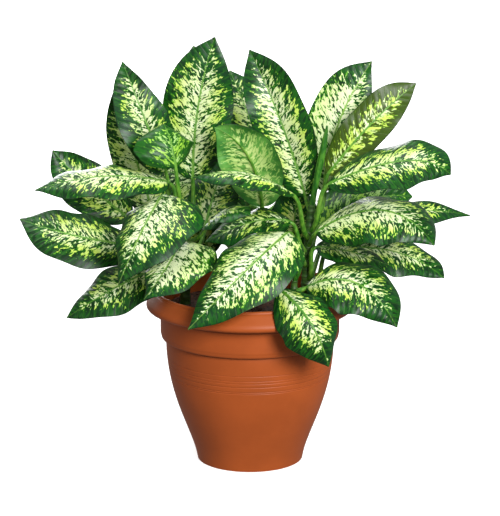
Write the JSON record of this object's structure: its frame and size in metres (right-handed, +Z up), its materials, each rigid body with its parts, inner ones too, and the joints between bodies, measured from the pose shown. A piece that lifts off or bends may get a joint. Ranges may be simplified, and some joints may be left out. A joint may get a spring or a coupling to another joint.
{
  "type": "potted dieffenbachia",
  "caption": "Potted dieffenbachia house plant: broad pointed leaves with cream and green marbling on upright canes, in a round terracotta-coloured planter.",
  "frame": {"origin": "centre of the planter's flat base, on the surface that it stands on", "axes": "+Z up along the planter's middle line, +X to the right and -Y towards the viewer, as seen in the picture"},
  "size_m": [0.5225, 0.3754, 0.4844],
  "materials": {
    "planter": "satin",
    "potting_soil": "matte",
    "cane": "satin",
    "leaf": "satin"
  },
  "bodies": {
    "root": {"pot": "planter", "soil": "potting_soil", "cane_left": "cane", "cane_right": "cane", "cane_back": "cane", "cane_front": "cane", "leaf_left_01": "leaf", "leaf_left_02": "leaf", "leaf_left_03": "leaf", "leaf_left_04": "leaf", "leaf_left_05": "leaf", "leaf_left_06": "leaf", "leaf_left_07": "leaf", "leaf_left_08": "leaf", "leaf_left_09": "leaf", "leaf_left_10": "leaf", "leaf_left_11": "leaf", "leaf_left_12": "leaf", "leaf_right_01": "leaf", "leaf_right_02": "leaf", "leaf_right_03": "leaf", "leaf_right_04": "leaf", "leaf_right_05": "leaf", "leaf_right_06": "leaf", "leaf_right_07": "leaf", "leaf_right_08": "leaf", "leaf_right_09": "leaf", "leaf_right_10": "leaf", "leaf_right_11": "leaf", "leaf_right_12": "leaf", "leaf_front_01": "leaf", "leaf_front_02": "leaf", "leaf_back_01": "leaf", "leaf_back_02": "leaf", "leaf_back_03": "leaf", "leaf_back_04": "leaf", "leaf_back_05": "leaf", "leaf_back_06": "leaf", "leaf_back_07": "leaf", "leaf_back_08": "leaf", "leaf_back_09": "leaf", "leaf_back_10": "leaf", "leaf_back_11": "leaf", "spear_right": "leaf", "spear_front": "leaf"}
  },
  "joints": []
}
